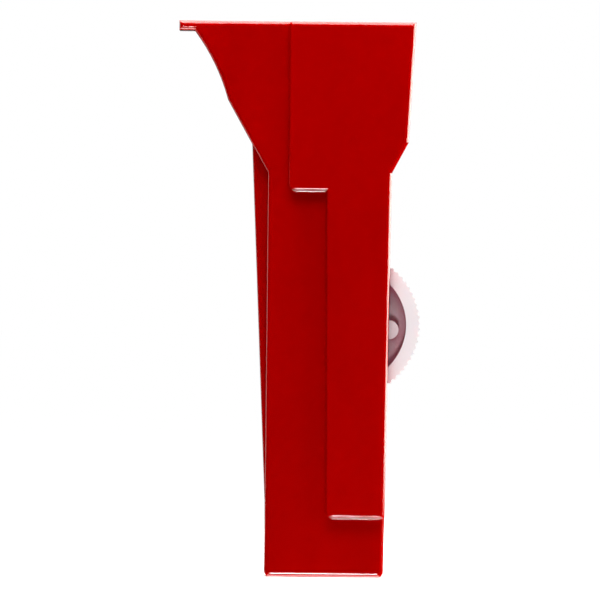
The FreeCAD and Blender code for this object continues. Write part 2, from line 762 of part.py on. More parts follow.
def make_far_shell():
    """The half with the door opening, the screw counterbores and the hinge's fixed barrels."""
    nose = {NOSE_SIDE: "Sizes.nose_curve_radius"}
    body = new_body("far_body")
    pad(body, profile, "Sizes.parting", "Sizes.far_face", corners=OUTLINE_WITH_LIP,
        arcs={LIP_NOSE_SIDE: "Sizes.nose_curve_radius"})
    fillet(body, is_foot_corner, "Sizes.corner_round")
    fillet(body, is_far_rim, "Sizes.edge_round")
    fillet(body, is_seam, "Sizes.seam_round")
    cavity = slab("far_cavity", OUTLINE, "Sizes.parting - 1", "Layout.far_inner", nose,
                  "Sizes.wall")
    hollow = remove("far_hollow", body, [cavity])
    inside = []
    for number, (x, z, raised) in enumerate(CASE_SCREWS):
        inside.append(rod("far_boss_%d" % number, "Sizes.boss_radius + 0.6", "Sizes.parting",
                          "Layout.far_inner + 1", x, z))
    inside.append(rod("far_pivot_seat", "Sizes.small_pin_radius + 1.8",
                      TRIGGER_REACH + " + 0.2", "Layout.far_inner + 1", *PIVOT))
    opening = slab("door_opening", DOOR, "Layout.far_inner - 0.5", "Sizes.far_face + 1", None,
                   "-Sizes.door_gap")
    clear = [block("knuckle_room_%d" % number, low + " - 0.3", high + " + 0.3",
                   "Layout.far_inner - 0.5", "Sizes.far_face + 3", "Layout.door_top",
                   "Layout.hinge_z + Sizes.hinge_radius + 0.8")
             for number, (low, high, on_door) in enumerate(KNUCKLES) if on_door]
    framed = remove("far_framed", join("far_solid", [hollow] + inside), [opening] + clear)
    barrels = []
    for number, (low, high, on_door) in enumerate(KNUCKLES):
        if not on_door:
            barrels += knuckle("shell_knuckle_%d" % number, low, high, False)
    holes = [window_block("far_window")] + tape_slots("far_slots")
    holes.append(peel_blade("far_blade_seat"))
    for number, (x, z, raised) in enumerate(CASE_SCREWS):
        holes.append(rod("far_hole_%d" % number, "Sizes.screw_radius + 0.1",
                         "Sizes.parting - 1", "Sizes.far_face + 1", x, z))
        holes.append(rod("far_counterbore_%d" % number, "Sizes.screw_head_radius + 0.2",
                         "Sizes.far_face - Sizes.screw_head_thick - 0.3",
                         "Sizes.far_face + 1", x, z))
    holes.append(pivot_seats("far_pivot_hole", "Sizes.small_pin_radius", TRIGGER_REACH,
                             "Sizes.far_face - 1"))
    holes.append(rod_x("shell_hinge_hole", "Sizes.hinge_pin_radius",
                       "Sizes.supply_x - 14", "Sizes.supply_x + 16", "Layout.hinge_y",
                       "Layout.hinge_z"))
    return remove("far_shell", join("far_hinged", [framed] + barrels), holes)


def is_far_rim(edge):
    """All outer edges of the far face."""
    return lies_at(edge, "Sizes.far_face")


def make_door():
    """The flat cover over the tape chambers, with its barrels and a finger scoop."""
    plate = new_body("door_plate")
    pad(plate, profile, "Layout.far_inner", "Sizes.far_face", corners=DOOR)
    fillet(plate, is_door_corner, "Sizes.door_round * 3")
    fillet(plate, is_far_rim, "Sizes.door_round")
    barrels = []
    for number, (low, high, on_door) in enumerate(KNUCKLES):
        if on_door:
            barrels += knuckle("door_knuckle_%d" % number, low, high, True)
    hole = rod_x("door_hinge_hole", "Sizes.hinge_pin_radius + Sizes.running_gap",
                 "Sizes.supply_x - 14", "Sizes.supply_x + 16", "Layout.hinge_y",
                 "Layout.hinge_z")
    scoop = rod("door_scoop", "9", "Sizes.far_face - 1.1", "Sizes.far_face + 1",
                "Layout.takeup_x - 1", "Layout.takeup_z - 22")
    return remove("door", join("door_solid", [plate] + barrels), [hole, scoop])


def is_door_corner(edge):
    """The door's two lower corners, run through its thickness."""
    box = edge.BoundBox
    return box.XLength < 1e-4 and box.ZLength < 1e-4 and box.ZMax < read("Layout.takeup_z")


def make_hinge_pin():
    return rod_x("door_hinge_pin", "Sizes.hinge_pin_radius", "Sizes.supply_x - 13.4",
                 "Sizes.supply_x + 15.4", "Layout.hinge_y", "Layout.hinge_z")


# ---------------------------------------------------------------- chassis and fixed pins

CHASSIS = [
    ("Layout.nose_x - 2.6", "Layout.supply_z + 21.7"),
    ("Layout.nose_x + 1.9", "Layout.nose_z + 4.2"),
    ("Layout.nose_x + 9.6", "Layout.nose_z + 2.4"),
    ("Layout.nose_x + 9.6", "Layout.nose_z - 7.1"),
    ("Sizes.brake_x - 3.9", "Layout.trigger_top + 1.6"),
    ("Sizes.grip_front + Sizes.plate_margin", "Layout.trigger_top + 1.6"),
    ("Sizes.grip_front + Sizes.plate_margin", "Layout.takeup_z - 19.0"),
    ("Sizes.grip_back_foot - Sizes.plate_margin + 0.2", "Layout.takeup_z - 19.0"),
    ("Sizes.grip_back_foot - Sizes.plate_margin + 0.2", "Layout.shoulder_z - 1.5"),
    ("Sizes.grip_back_top - 7.0", "Layout.shoulder_z + 1.5"),
    ("Sizes.grip_back_top - 7.0", "Layout.shoulder_z + 8"),
    ("Layout.shoulder_top_x - 3.3", "Layout.shoulder_top_z + 7"),
    ("Layout.shoulder_top_x - 3.3", "Layout.supply_z + 21.7"),
]


def make_chassis():
    """The steel plate between the gears and the tape, with the bearings of both sleeves."""
    body = new_body("chassis_plate")
    pad(body, profile, "Sizes.plate_front", "Layout.plate_back", corners=CHASSIS)
    holes = [
        SUPPLY + ("Sizes.sleeve_radius + Sizes.running_gap",),
        TAKEUP + ("Sizes.takeup_sleeve_radius + Sizes.running_gap",),
        IDLER + ("Sizes.idler_post_radius",),
        WHEEL + ("Sizes.axle_radius",),
        EXIT_ROLLER + ("Sizes.roller_pin_radius",),
        RETURN_ROLLER + ("Sizes.roller_pin_radius",),
        GUIDE_POST + ("Sizes.roller_pin_radius",),
        BRAKE + ("Sizes.small_pin_radius",),
    ]
    holes += [(x, z, "Sizes.plate_screw_radius + 0.1") for x, z, raised in PLATE_SCREWS]
    pocket(body, circles, "Sizes.plate_front", "Layout.plate_back", spots=holes)
    return body


def make_posts():
    """The shafts that the gears and hubs turn on."""
    back = "Layout.plate_back"
    supply = join("supply_post", [
        rod("supply_shaft", "Sizes.supply_post_radius", "Layout.post_low",
            "Layout.tape_high - 2.4", *SUPPLY),
        rod("supply_tip", "Sizes.supply_post_radius / 2", "Layout.tape_high - 2.4",
            "Layout.tape_high - 1.2", *SUPPLY)])
    takeup = join("takeup_post", [
        rod("takeup_shaft", "Sizes.takeup_post_radius", "Layout.post_low",
            "Sizes.parting + 5.4", *TAKEUP),
        rod("takeup_tip", "Sizes.takeup_post_radius / 2", "Sizes.parting + 5.4",
            "Sizes.parting + 6.4", *TAKEUP)])
    return [
        supply,
        takeup,
        rod("idler_post", "Sizes.idler_post_radius", "Layout.post_low", back, *IDLER),
        rod("thumbwheel_axle", "Sizes.axle_radius", "Layout.post_low", back, *WHEEL),
        rod("brake_pivot", "Sizes.small_pin_radius", "Layout.brake_front", back, *BRAKE),
        rod("trigger_pin", "Sizes.small_pin_radius", "Sizes.near_face + 1",
            "Sizes.far_face - 1", *PIVOT),
        rod("guide_post", "Sizes.roller_pin_radius", "Sizes.plate_front",
            "Layout.tape_high + 0.2", *GUIDE_POST),
        rod("exit_roller_pin", "Sizes.roller_pin_radius", "Sizes.plate_front",
            "Layout.far_inner - 0.1", *EXIT_ROLLER),
        rod("return_roller_pin", "Sizes.roller_pin_radius", "Sizes.plate_front",
            "Layout.far_inner - 0.1", *RETURN_ROLLER),
    ]


def make_roller(label, spot):
    """A plastic roller with low flanges that keep the tape straight."""
    low = "Layout.plate_back + 0.2"
    high = "Layout.tape_high - 0.2"
    barrel = rod(label + "_barrel", "Sizes.roller_radius - 0.6", low, high, *spot)
    rims = [rod(label + "_rim_low", "Sizes.roller_radius", low, low + " + 0.6", *spot),
            rod(label + "_rim_high", "Sizes.roller_radius", high + " - 0.6", high, *spot)]
    bore = rod(label + "_bore", "Sizes.roller_pin_radius + Sizes.running_gap", low, high, *spot)
    return remove(label, join(label + "_solid", [barrel] + rims), [bore])


def make_roller_clips():
    """Retaining clips at the free ends of the two roller pins."""
    low = "Layout.far_inner - 0.65"
    high = "Layout.far_inner - 0.25"
    clips = []
    for number, spot in enumerate((EXIT_ROLLER, RETURN_ROLLER)):
        x, z = spot
        ring = tube("clip_ring_%d" % number, "2.9", "Sizes.roller_pin_radius", low, high, x, z)
        mouth = block("clip_mouth_%d" % number, x + " - 0.9", x + " + 0.9", low, high,
                      z + " - 4", z)
        clips.append(remove("clip_%d" % number, ring, [mouth]))
    return group("roller_clips", clips)


def cross_slot(label, x, z, low, high, length):
    """A cross recess for a screwdriver."""
    return [
        block(label + "_across", "(%s) - %s" % (x, length), "(%s) + %s" % (x, length), low,
              high, "(%s) - 0.3" % z, "(%s) + 0.3" % z),
        block(label + "_down", "(%s) - 0.3" % x, "(%s) + 0.3" % x, low, high,
              "(%s) - %s" % (z, length), "(%s) + %s" % (z, length)),
    ]


def make_case_screws():
    """Pan-head screws driven from the far side into the near shell's bosses."""
    under = "Sizes.far_face - Sizes.screw_head_thick - 0.3"
    top = "Sizes.far_face - 0.3"
    screws = []
    for number, (x, z, raised) in enumerate(CASE_SCREWS):
        head = rod("case_head_%d" % number, "Sizes.screw_head_radius", under, top, x, z)
        shank = rod("case_shank_%d" % number, "Sizes.screw_radius",
                    "Layout.near_inner + 2.8", under, x, z)
        solid = join("case_solid_%d" % number, [head, shank])
        recess = cross_slot("case_cross_%d" % number, x, z, top + " - 0.8", top, "1.5")
        screws.append(remove("case_screw_%d" % number, solid, recess))
    return group("case_screws", screws)


def make_plate_screws():
    """Short screws that hold the chassis plate to the near shell."""
    under = "Layout.plate_back"
    top = "Layout.plate_back + 0.9"
    screws = []
    for number, (x, z, raised) in enumerate(PLATE_SCREWS):
        head = rod("plate_head_%d" % number, "Sizes.plate_screw_radius + 1", under, top, x, z)
        shank = rod("plate_shank_%d" % number, "Sizes.plate_screw_radius",
                    "Layout.near_inner + 0.8", under, x, z)
        solid = join("plate_solid_%d" % number, [head, shank])
        recess = cross_slot("plate_cross_%d" % number, x, z, top + " - 0.5", top, "1.2")
        screws.append(remove("plate_screw_%d" % number, solid, recess))
    return group("chassis_screws", screws)


# ---------------------------------------------------------------- gears and hubs

def make_supply():
    """Supply side: gear with brake drum and sleeve, tape hub, drag spring and end cap."""
    bore = "Sizes.supply_post_radius + Sizes.running_gap"
    low = "Layout.gear_front"
    back = "Layout.plate_back"
    teeth = gear("supply", low, "Layout.drum_front", SUPPLY)
    drum = rod("supply_drum", "Sizes.drum_radius", "Layout.drum_front",
               "Sizes.plate_front - Sizes.layer_gap", *SUPPLY)
    sleeve = rod("supply_sleeve", "Sizes.sleeve_radius", low, back + " + 2.2", *SUPPLY)
    wheel = remove("supply_gear", join("supply_gear_solid", [teeth, drum, sleeve]),
                   [rod("supply_gear_bore", bore, low, back + " + 2.2", *SUPPLY)])
    hub_low = back + " + 0.3"
    hub_high = "Layout.tape_high - 0.8"
    wall = "Sizes.core_radius - 1.7"
    flange = rod("hub_flange", "Sizes.core_radius + 4", hub_low, hub_low + " + 0.9", *SUPPLY)
    barrel = rod("hub_barrel", "Sizes.core_radius - 0.1", hub_low, hub_high, *SUPPLY)
    ribs = []
    for number in range(3):
        angle = "%d deg" % (90 + 120 * number)
        x = "Sizes.supply_x + (Sizes.core_radius - 0.6) * cos(%s)" % angle
        z = "Layout.supply_z + (Sizes.core_radius - 0.6) * sin(%s)" % angle
        ribs.append(rod("hub_rib_%d" % number, "1.0", hub_low, hub_high + " - 1", x, z))
    hollow = rod("hub_hollow", wall, back + " + 2.2", hub_high, *SUPPLY)
    hole = rod("hub_hole", "Sizes.sleeve_radius", hub_low, hub_high, *SUPPLY)
    hub = remove("supply_hub", join("hub_solid", [flange, barrel] + ribs), [hollow, hole])
    spring = tube("supply_drag_spring", "4.9", "4.1", back + " + 2.3", "Layout.tape_high - 2.5",
                  *SUPPLY)
    cap_low = "Layout.tape_high - 2.4"
    cap_top = "Layout.tape_high - 1.2"
    cap = remove("supply_cap", rod("supply_cap_disc", "5.4", cap_low, cap_top, *SUPPLY),
                 [rod("supply_cap_hole", "Sizes.supply_post_radius / 2", cap_low, cap_top,
                      *SUPPLY)])
    return [wheel, hub, spring, cap]


def make_idler():
    bore = "Sizes.idler_post_radius + Sizes.running_gap"
    teeth = gear("idler", "Sizes.train_front", "Sizes.train_back", IDLER)
    hub = rod("idler_hub", "Sizes.idler_post_radius + 2", "Layout.gear_front",
              "Sizes.plate_front - Sizes.layer_gap", *IDLER)
    web = tube("idler_recess", "Sizes.module * Sizes.idler_teeth / 2 - 2.6",
               "Sizes.idler_post_radius + 2", "Sizes.train_front",
               "Sizes.train_front + 1", *IDLER)
    return remove("idler_gear", join("idler_solid", [teeth, hub]),
                  [web, rod("idler_bore", bore, "Layout.gear_front",
                            "Sizes.plate_front - Sizes.layer_gap", *IDLER)])


def make_thumbwheel():
    """The toothed wheel that stands out of the grip and winds the liner by hand."""
    low = "Layout.wheel_front"
    high = "Sizes.wheel_back"
    floor = "Sizes.wheel_back - Sizes.wheel_web"
    front = knurled_blank("wheel_knurl", read("Sizes.wheel_teeth"), PHASES["wheel"], low,
                          "Sizes.train_front - Sizes.knurl_gap", *WHEEL)
    teeth = gear("wheel", "Sizes.train_front - Sizes.knurl_gap", high, WHEEL)
    blank = join("wheel_blank", [front, teeth])
    recess = rod("wheel_recess", "Sizes.rim_inner_radius", low, floor, *WHEEL)
    hub = rod("wheel_hub", "Sizes.axle_radius + 2.6", low, floor, *WHEEL)
    bosses = []
    count = int(read("Sizes.finger_bosses"))
    for number in range(count):
        angle = "%f deg" % (360 * number / count - 6.3)
        x = "Layout.wheel_x + Sizes.finger_boss_circle * cos(%s)" % angle
        z = "Layout.wheel_z + Sizes.finger_boss_circle * sin(%s)" % angle
        bosses.append(rod("finger_boss_%d" % number, "Sizes.finger_boss_radius", low + " + 1.4",
                          floor, x, z))
    dish = remove("wheel_dish", blank, [recess])
    bore = rod("wheel_bore", "Sizes.axle_radius + Sizes.running_gap", low, high, *WHEEL)
    return remove("thumbwheel", join("wheel_solid", [dish, hub] + bosses), [bore])


def make_takeup():
    """Take-up side: gear and sleeve, clutch plate, felt, spool, spring and end cap."""
    bore = "Sizes.takeup_post_radius + Sizes.running_gap"
    sleeve_top = "Sizes.parting - 0.6"
    teeth = gear("takeup", "Sizes.train_front", "Sizes.plate_front - Sizes.layer_gap", TAKEUP)
    shoulder = rod("takeup_shoulder", "4.6", "Layout.gear_front", "Sizes.train_front", *TAKEUP)
    sleeve = rod("takeup_sleeve", "Sizes.takeup_sleeve_radius", "Layout.gear_front", sleeve_top,
                 *TAKEUP)
    wheel = remove("takeup_gear", join("takeup_gear_solid", [teeth, shoulder, sleeve]),
                   [rod("takeup_gear_bore", bore, "Layout.gear_front", sleeve_top, *TAKEUP)])
    plate_low = "Sizes.parting - 2.0"
    inside = "Sizes.liner_core_radius - 1.2"
    plate = tube("clutch_plate", inside + " - 0.3", "Sizes.takeup_sleeve_radius", plate_low,
                 sleeve_top, *TAKEUP)
    felt = tube("clutch_felt", inside + " - 0.4", "Sizes.takeup_post_radius + 0.5", sleeve_top,
                "Sizes.parting + 0.1", *TAKEUP)
    web_low = "Sizes.parting + 0.2"
    web_top = "Sizes.parting + 1.4"
    low = "Layout.plate_back + 0.3"
    high = "Layout.tape_high - 0.8"
    flange = rod("spool_flange", "Sizes.liner_flange_radius", low, low + " + 0.9", *TAKEUP)
    barrel = rod("spool_barrel", "Sizes.liner_core_radius", low, high, *TAKEUP)
    slit = block("spool_slit", "Layout.takeup_x - 0.5", "Layout.takeup_x + 0.5", web_top, high,
                 "Layout.takeup_z + 5", "Layout.takeup_z + 9")
    spool = remove("takeup_spool", join("spool_solid", [flange, barrel]), [
        rod("spool_back", inside, low, web_low, *TAKEUP),
        rod("spool_front", inside, web_top, high, *TAKEUP),
        rod("spool_bore", bore, web_low, web_top, *TAKEUP), slit])
    spring_top = "Sizes.parting + 5.4"
    spring = tube("clutch_spring", "4.2", "3.4", web_top + " + 0.1", spring_top + " - 0.05",
                  *TAKEUP)
    cap_top = "Sizes.parting + 6.4"
    cap = remove("takeup_cap", rod("takeup_cap_disc", "4.6", spring_top, cap_top, *TAKEUP),
                 [rod("takeup_cap_hole", "Sizes.takeup_post_radius / 2", spring_top, cap_top,
                      *TAKEUP)])
    return [wheel, plate, felt, spool, spring, cap]


# ---------------------------------------------------------------- trigger and brake

def trigger_line(z):
    """X of the trigger's outer face at a height, on its straight line from foot to top."""
    return ("Sizes.grip_front - Sizes.trigger_out * ((%s) - Sizes.pivot_up)"
            " / (Layout.trigger_top - Sizes.pivot_up)" % z)


FINGER_UP = "Layout.brake_z - 11.5"


def make_trigger():
    """A long channel, pivoted near the foot, with a finger that works the brake."""
    foot = "Sizes.pivot_up - 3.3"
    top = "Layout.trigger_top"
    hidden = "Sizes.grip_front + 0.7"
    corners = [
        ("Sizes.grip_front - 0.05", foot),
        ("Layout.pivot_x + 2.9", foot),
        ("Layout.pivot_x + 2.9", "Sizes.pivot_up + 3"),
        (hidden, "Sizes.pivot_up + 5"),
        (hidden, "Layout.shoulder_z"),
        (trigger_line(top) + " + Sizes.trigger_plate", top),
        (trigger_line(top), top),
    ]
    plate = " + Sizes.trigger_plate"
    inner = [
        (trigger_line(foot) + plate, foot + " - 1"),
        ("Layout.pivot_x + 5", foot + " - 1"),
        ("Layout.pivot_x + 5", top + " + 1"),
        (trigger_line(top) + plate, top + " + 1"),
    ]
    body = new_body("trigger")
    half = TRIGGER_REACH
    pad(body, profile, "-" + half, half, corners=corners)
    fillet(body, is_trigger_front, "Sizes.trigger_round")
    pocket(body, profile, "-%s + Sizes.trigger_flange" % half,
           "%s - Sizes.trigger_flange" % half, corners=inner)
    finger = rectangle(trigger_line(FINGER_UP) + " + 1", "Sizes.brake_x - 3.3",
                       FINGER_UP + " - 1.2", FINGER_UP + " + 1.2")
    pad(body, profile, "Layout.brake_front - 1.2", "Sizes.plate_front - Sizes.layer_gap",
        corners=finger)
    pocket(body, circles, "-" + half, half,
           spots=[PIVOT + ("Sizes.small_pin_radius + Sizes.running_gap",)])
    return body


def is_trigger_front(edge):
    """The two long edges of the trigger's outer face."""
    half = read(TRIGGER_REACH)
    ends = [vertex.Point for vertex in edge.Vertexes]
    long = edge.Length > read("Layout.trigger_top - Sizes.pivot_up")
    front = max(end.x for end in ends) < read("Sizes.grip_front") + 0.01
    return long and front and abs(abs(ends[0].y) - half) < 1e-4


def make_trigger_spring():
    """Torsion spring round the trigger pin: a coil sleeve and two straight legs."""
    x, z = PIVOT
    coil = tube("trigger_coil", "Sizes.small_pin_radius + 1.3", "Sizes.small_pin_radius + 0.4",
                "-3.5", "3.5", x, z)
    up = block("trigger_leg_up", x + " - 2.5", x + " - 1.8", "-3.5", "-2.8", z, z + " + 9")
    across = block("trigger_leg_across", x, x + " + 9", "2.8", "3.5", z + " - 2.5",
                   z + " - 1.8")
    return join("trigger_spring", [coil, up, across])


def make_brake():
    """The rocker that holds a rubber shoe near the supply drum, and its leaf spring."""
    x, z = BRAKE
    corners = [
        (x + " - 2.7", z + " - 12.7"),
        (x + " - 0.7", z + " - 12.7"),
        (x + " + 1.9", z + " - 1.5"),
        (x + " + 1.2", z + " + 4.0"),
        (x + " + 1.2", z + " + 8.6"),
        (x + " - 0.9", z + " + 8.6"),
        (x + " - 2.1", z),
    ]
    front = "Layout.brake_front"
    back = "Sizes.plate_front - Sizes.layer_gap"
    lever = new_body("brake_lever")
    pad(lever, profile, front, back, corners=corners)
    pocket(lever, circles, front, back,
           spots=[(x, z, "Sizes.small_pin_radius + Sizes.running_gap")])
    shoe = block("brake_shoe", x + " + 1.2", x + " + 2.5", front, back, z + " + 4.4",
                 z + " + 8.2")
    leaf = slab("brake_leaf", [
        (x + " - 7.7", z + " + 2.4"),
        (x + " - 7.4", z + " + 2.1"),
        (x + " - 1.4", z + " + 7.2"),
        (x + " - 1.4", z + " + 7.7"),
    ], front, back)
    peg = rod("brake_spring_peg", "0.9", front, "Sizes.plate_front", x + " - 7.6",
              z + " + 2.2")
    return [lever, shoe, join("brake_spring", [leaf, peg])]


# ---------------------------------------------------------------- build, check and write

nodes = [make_near_shell(), make_far_shell(), make_door(), make_hinge_pin(),
         peel_blade("peel_blade"), make_chassis(), make_roller_clips(), make_case_screws(),
         make_plate_screws(), make_idler(), make_thumbwheel(), make_trigger(),
         make_trigger_spring(), make_roller("exit_roller", EXIT_ROLLER),
         make_roller("return_roller", RETURN_ROLLER)]
nodes += make_posts() + make_supply() + make_takeup() + make_brake()
doc.recompute()

for item in doc.Objects:
    if "Invalid" in item.State or "Error" in item.State:
        raise RuntimeError("%s is not built: %s" % (item.Label, item.State))
for node in nodes:
    if node.Shape.isNull() or not node.Shape.isValid():
        raise RuntimeError("%s has no valid shape" % node.Label)

os.makedirs("parts", exist_ok=True)
for node in nodes:
    node.Shape.exportStep("parts/%s.step" % node.Label)
    print("%-20s %2d solid  %9.1f mm3" % (node.Label, len(node.Shape.Solids),
                                          node.Shape.Volume))
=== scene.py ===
"""Looks of a hand-held tape gun for adhesive transfer tape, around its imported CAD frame."""

import json
import math

import bmesh
import bpy
from mathutils import Matrix, Vector


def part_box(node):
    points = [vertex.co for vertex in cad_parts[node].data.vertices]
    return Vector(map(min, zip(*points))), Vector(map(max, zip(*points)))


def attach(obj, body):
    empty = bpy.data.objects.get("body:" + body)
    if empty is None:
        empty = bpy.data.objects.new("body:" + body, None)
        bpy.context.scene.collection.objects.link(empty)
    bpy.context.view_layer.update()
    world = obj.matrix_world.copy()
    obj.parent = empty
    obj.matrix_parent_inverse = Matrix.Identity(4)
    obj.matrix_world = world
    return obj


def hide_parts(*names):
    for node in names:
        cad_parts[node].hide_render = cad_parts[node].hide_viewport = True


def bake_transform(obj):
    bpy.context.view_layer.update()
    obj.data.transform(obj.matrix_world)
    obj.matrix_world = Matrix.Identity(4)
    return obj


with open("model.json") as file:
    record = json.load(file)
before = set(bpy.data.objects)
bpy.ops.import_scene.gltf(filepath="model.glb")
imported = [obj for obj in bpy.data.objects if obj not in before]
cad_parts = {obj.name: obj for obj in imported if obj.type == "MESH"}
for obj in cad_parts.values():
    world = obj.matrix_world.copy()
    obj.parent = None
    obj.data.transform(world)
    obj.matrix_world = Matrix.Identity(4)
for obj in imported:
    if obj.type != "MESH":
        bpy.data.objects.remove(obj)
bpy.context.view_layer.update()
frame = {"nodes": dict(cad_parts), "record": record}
NODES = frame["nodes"]
MM = 0.001


# ---------------------------------------------------------------- materials

def link(tree, source, target):
    tree.links.new(source, target)


def new_material(name):
    """A material with a Principled shader, and the object coordinates that its textures use."""
    material = bpy.data.materials.new(name)
    material.use_nodes = True
    tree = material.node_tree
    shader = tree.nodes["Principled BSDF"]
    place = tree.nodes.new("ShaderNodeTexCoord").outputs["Object"]
    return material, tree, shader, place


def noise(tree, place, size, detail=3.0, stretch=None):
    """Noise whose spots are about size metres across, drawn out along the axes in stretch."""
    if stretch:
        mapping = tree.nodes.new("ShaderNodeMapping")
        mapping.inputs["Scale"].default_value = stretch
        link(tree, place, mapping.inputs["Vector"])
        place = mapping.outputs["Vector"]
    texture = tree.nodes.new("ShaderNodeTexNoise")
    texture.inputs["Scale"].default_value = 1.0 / size
    texture.inputs["Detail"].default_value = detail
    link(tree, place, texture.inputs["Vector"])
    return texture.outputs["Fac"]


def spread(tree, source, low, high, start=0.3, end=0.7):
    """Maps a texture's start to end on to low to high."""
    node = tree.nodes.new("ShaderNodeMapRange")
    node.inputs["From Min"].default_value = start
    node.inputs["From Max"].default_value = end
    node.inputs["To Min"].default_value = low
    node.inputs["To Max"].default_value = high
    link(tree, source, node.inputs["Value"])
    return node.outputs["Result"]


def blend_colours(tree, share, first, second):
    node = tree.nodes.new("ShaderNodeMix")
    node.data_type = "RGBA"
    link(tree, share, node.inputs["Factor"])
    for socket, colour in ((node.inputs["A"], first), (node.inputs["B"], second)):
        if isinstance(colour, tuple):
            socket.default_value = colour + (1.0,)
        else:
            link(tree, colour, socket)
    return node.outputs["Result"]


def bump(tree, height, depth, shader):
    """Adds a bump of the given depth in metres to the shader's normal."""
    node = tree.nodes.new("ShaderNodeBump")
    node.inputs["Distance"].default_value = depth
    link(tree, height, node.inputs["Height"])
    link(tree, node.outputs["Normal"], shader.inputs["Normal"])


def edge_mask(tree, radius):
    """1 close to a convex or concave edge, 0 on flat faces."""
    rounded = tree.nodes.new("ShaderNodeBevel")
    rounded.samples = 4
    rounded.inputs["Radius"].default_value = radius
    flat = tree.nodes.new("ShaderNodeNewGeometry")
    dot = tree.nodes.new("ShaderNodeVectorMath")
    dot.operation = "DOT_PRODUCT"
    link(tree, rounded.outputs["Normal"], dot.inputs[0])
    link(tree, flat.outputs["Normal"], dot.inputs[1])
    return spread(tree, dot.outputs["Value"], 1.0, 0.0, 0.90, 0.999)


def moulded_plastic(name, deep, light, worn, roughness, sheen=0.5, soft=0.0, soft_colour=None,
                    wear=0.35, grain=0.00002, painted_recess_shade=None):
    """Injection-moulded plastic: flow marks, fine grain, paler rubbed edges, and, when a recess
    colour is given, painted shade in its recesses.
    """
    material, tree, shader, place = new_material(name)
    flow = noise(tree, place, 0.03, 4.0, (1.0, 1.0, 0.35))
    body = blend_colours(tree, spread(tree, flow, 0.0, 1.0), deep, light)
    if wear:
        rubbed = noise(tree, place, 0.0016, 5.0)
        patchy = tree.nodes.new("ShaderNodeMath")
        patchy.operation = "MULTIPLY"
        link(tree, edge_mask(tree, 0.0004), patchy.inputs[0])
        link(tree, spread(tree, rubbed, 0.0, wear, 0.45, 0.75), patchy.inputs[1])
        body = blend_colours(tree, patchy.outputs["Value"], body, worn)
    # Painted shade: an ambient occlusion mask mixes a dark colour into recesses and hollows,
    # standing in for shade and red light bounced from the housing.
    if painted_recess_shade:
        painted_shade_occlusion = tree.nodes.new("ShaderNodeAmbientOcclusion")
        painted_shade_occlusion.samples = 6
        painted_shade_occlusion.inputs["Distance"].default_value = 0.012
        body = blend_colours(tree, spread(tree, painted_shade_occlusion.outputs["AO"], 1.0, 0.0, 0.3, 0.72),
                             body, painted_recess_shade)
    link(tree, body, shader.inputs["Base Color"])
    smear = noise(tree, place, 0.006, 5.0, (1.0, 1.0, 0.5))
    link(tree, spread(tree, smear, roughness * 0.8, roughness * 1.3), shader.inputs["Roughness"])
    bump(tree, noise(tree, place, 0.0007, 3.0), grain, shader)
    shader.inputs["Specular IOR Level"].default_value = sheen
    if soft:
        shader.inputs["Subsurface Weight"].default_value = soft
        shader.inputs["Subsurface Radius"].default_value = soft_colour
        shader.inputs["Subsurface Scale"].default_value = 0.004
    return material


def bare_metal(name, colour, roughness, drawn, scratch=0.00001):
    """Metal with fine lines along the way that it was drawn or rolled."""
    material, tree, shader, place = new_material(name)
    lines = noise(tree, place, 0.0004, 4.0, drawn)
    dull = noise(tree, place, 0.004, 4.0)
    darker = tuple(part * 0.72 for part in colour)
    link(tree, blend_colours(tree, spread(tree, dull, 0.0, 1.0), darker, colour),
         shader.inputs["Base Color"])
    shader.inputs["Metallic"].default_value = 1.0
    link(tree, spread(tree, lines, roughness * 0.7, roughness * 1.4), shader.inputs["Roughness"])
    bump(tree, lines, scratch, shader)
    return material


def soft_material(name, deep, light, roughness, grain, depth, fuzz=0.0):
    """Rubber or felt: matt, mottled and grainy."""
    material, tree, shader, place = new_material(name)
    spots = noise(tree, place, grain, 6.0)
    link(tree, blend_colours(tree, spread(tree, spots, 0.0, 1.0), deep, light),
         shader.inputs["Base Color"])
    link(tree, spread(tree, spots, roughness * 0.9, min(1.0, roughness * 1.1)),
         shader.inputs["Roughness"])
    bump(tree, spots, depth, shader)
    shader.inputs["Sheen Weight"].default_value = fuzz
    return material


MATERIALS = {
    "red_housing": moulded_plastic("red_housing", (0.40, 0.0, 0.0), (0.46, 0.0, 0.0),
                                   (0.75, 0.06, 0.05), 0.09, 0.5, 0.6, (1.0, 0.02, 0.02)),
    "red_trigger": moulded_plastic("red_trigger", (0.37, 0.0, 0.0), (0.43, 0.0, 0.0),
                                   (0.70, 0.06, 0.05), 0.11, 0.5, 0.6, (1.0, 0.02, 0.02)),
    # The white nylon's last colour is painted shade: a dark mauve put into its recesses by
    # occlusion.
    "white_nylon": moulded_plastic("white_nylon", (0.84, 0.78, 0.81), (0.89, 0.84, 0.87),
                                   (0.97, 0.95, 0.96), 0.34, 0.45, 0.1, (1.0, 0.6, 0.5), 0.2,
                                   painted_recess_shade=(0.34, 0.045, 0.10)),
    "grey_plastic": moulded_plastic("grey_plastic", (0.20, 0.205, 0.21), (0.25, 0.255, 0.26),
                                    (0.45, 0.45, 0.46), 0.38),
    "black_plastic": moulded_plastic("black_plastic", (0.012, 0.012, 0.013),
                                     (0.022, 0.022, 0.023), (0.16, 0.16, 0.165), 0.36),
    "steel": bare_metal("steel", (0.60, 0.60, 0.61), 0.30, (1.0, 1.0, 0.03)),
    "spring_steel": bare_metal("spring_steel", (0.42, 0.41, 0.40), 0.26, (1.0, 1.0, 0.1)),
    "screw_steel": bare_metal("screw_steel", (0.50, 0.50, 0.52), 0.28, (1.0, 1.0, 1.0)),
    "black_rubber": soft_material("black_rubber", (0.010, 0.010, 0.011), (0.025, 0.025, 0.026),
                                  0.72, 0.0003, 0.00003),
    "felt": soft_material("felt", (0.09, 0.10, 0.09), (0.20, 0.21, 0.20), 0.95, 0.00025,
                          0.00012, 0.5),
}


